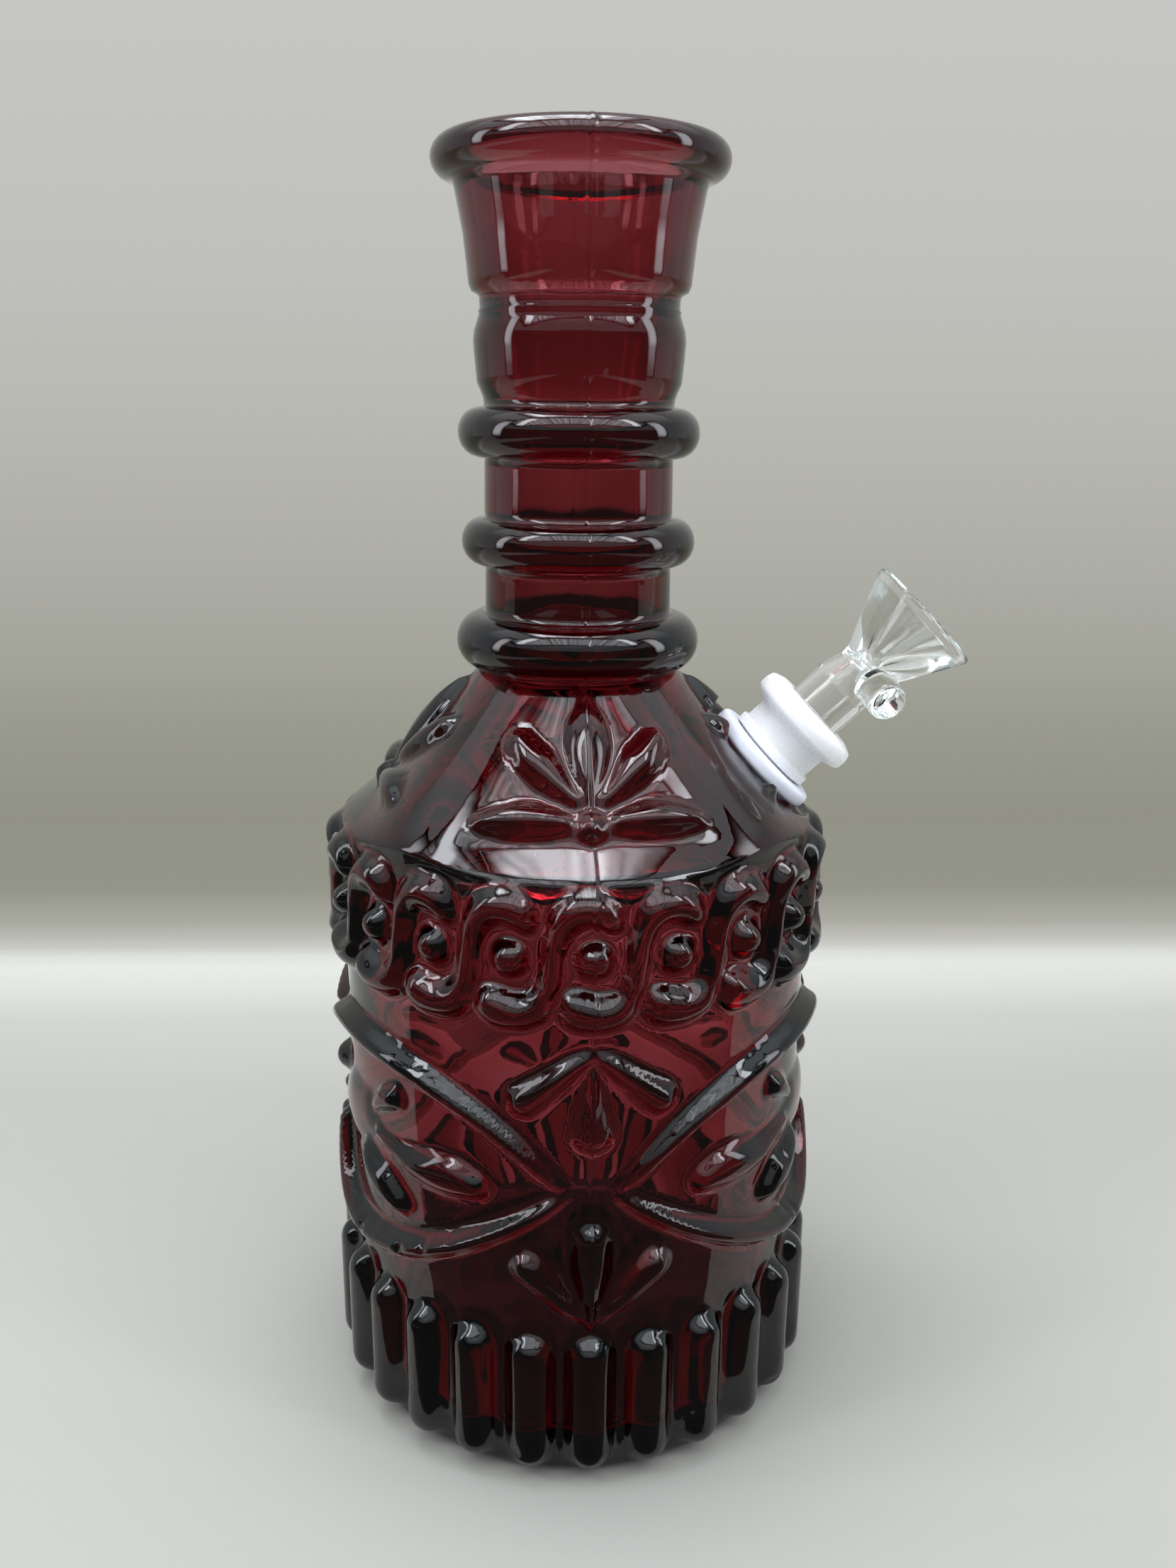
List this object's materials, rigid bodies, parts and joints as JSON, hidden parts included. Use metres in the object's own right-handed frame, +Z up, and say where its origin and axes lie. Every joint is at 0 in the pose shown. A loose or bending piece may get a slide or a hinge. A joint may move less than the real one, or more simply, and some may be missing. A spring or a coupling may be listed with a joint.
{
  "type": "glass water pipe",
  "caption": "Embossed glass decanter with a ringed neck, fitted through its shoulder with a silicone grommet and downstem that hold a clear glass funnel bowl.",
  "frame": {"origin": "centre of the flat base, on the surface the bottle stands on", "axes": "+Z up the bottle's axis to the mouth, +X the side on which the downstem leaves the shoulder, -Y the front"},
  "size_m": [0.1442, 0.1154, 0.281],
  "materials": {
    "amethyst_glass": "fire-polished pressed glass",
    "white_silicone": "satin moulded silicone",
    "frosted_silicone": "milky translucent silicone",
    "clear_glass": "clear lampworked glass"
  },
  "bodies": {
    "bottle": {"bottle": "amethyst_glass"},
    "grommet": {"grommet": "white_silicone"},
    "downstem": {"downstem": "frosted_silicone"},
    "bowl": {"slide_bowl": "clear_glass"}
  },
  "joints": [
    {"name": "grommet_turn", "type": "hinge", "parent": "bottle", "child": "grommet", "pos_m": [0.0404, 0, 0.14974], "axis": [0.7193, 0, 0.6947], "continuous": true},
    {"name": "downstem_slide", "type": "slide", "parent": "grommet", "child": "downstem", "axis": [0.7193, 0, 0.6947], "range_m": [0, 0.105]},
    {"name": "bowl_slide", "type": "slide", "parent": "downstem", "child": "bowl", "axis": [0.7193, 0, 0.6947], "range_m": [0, 0.022]}
  ]
}
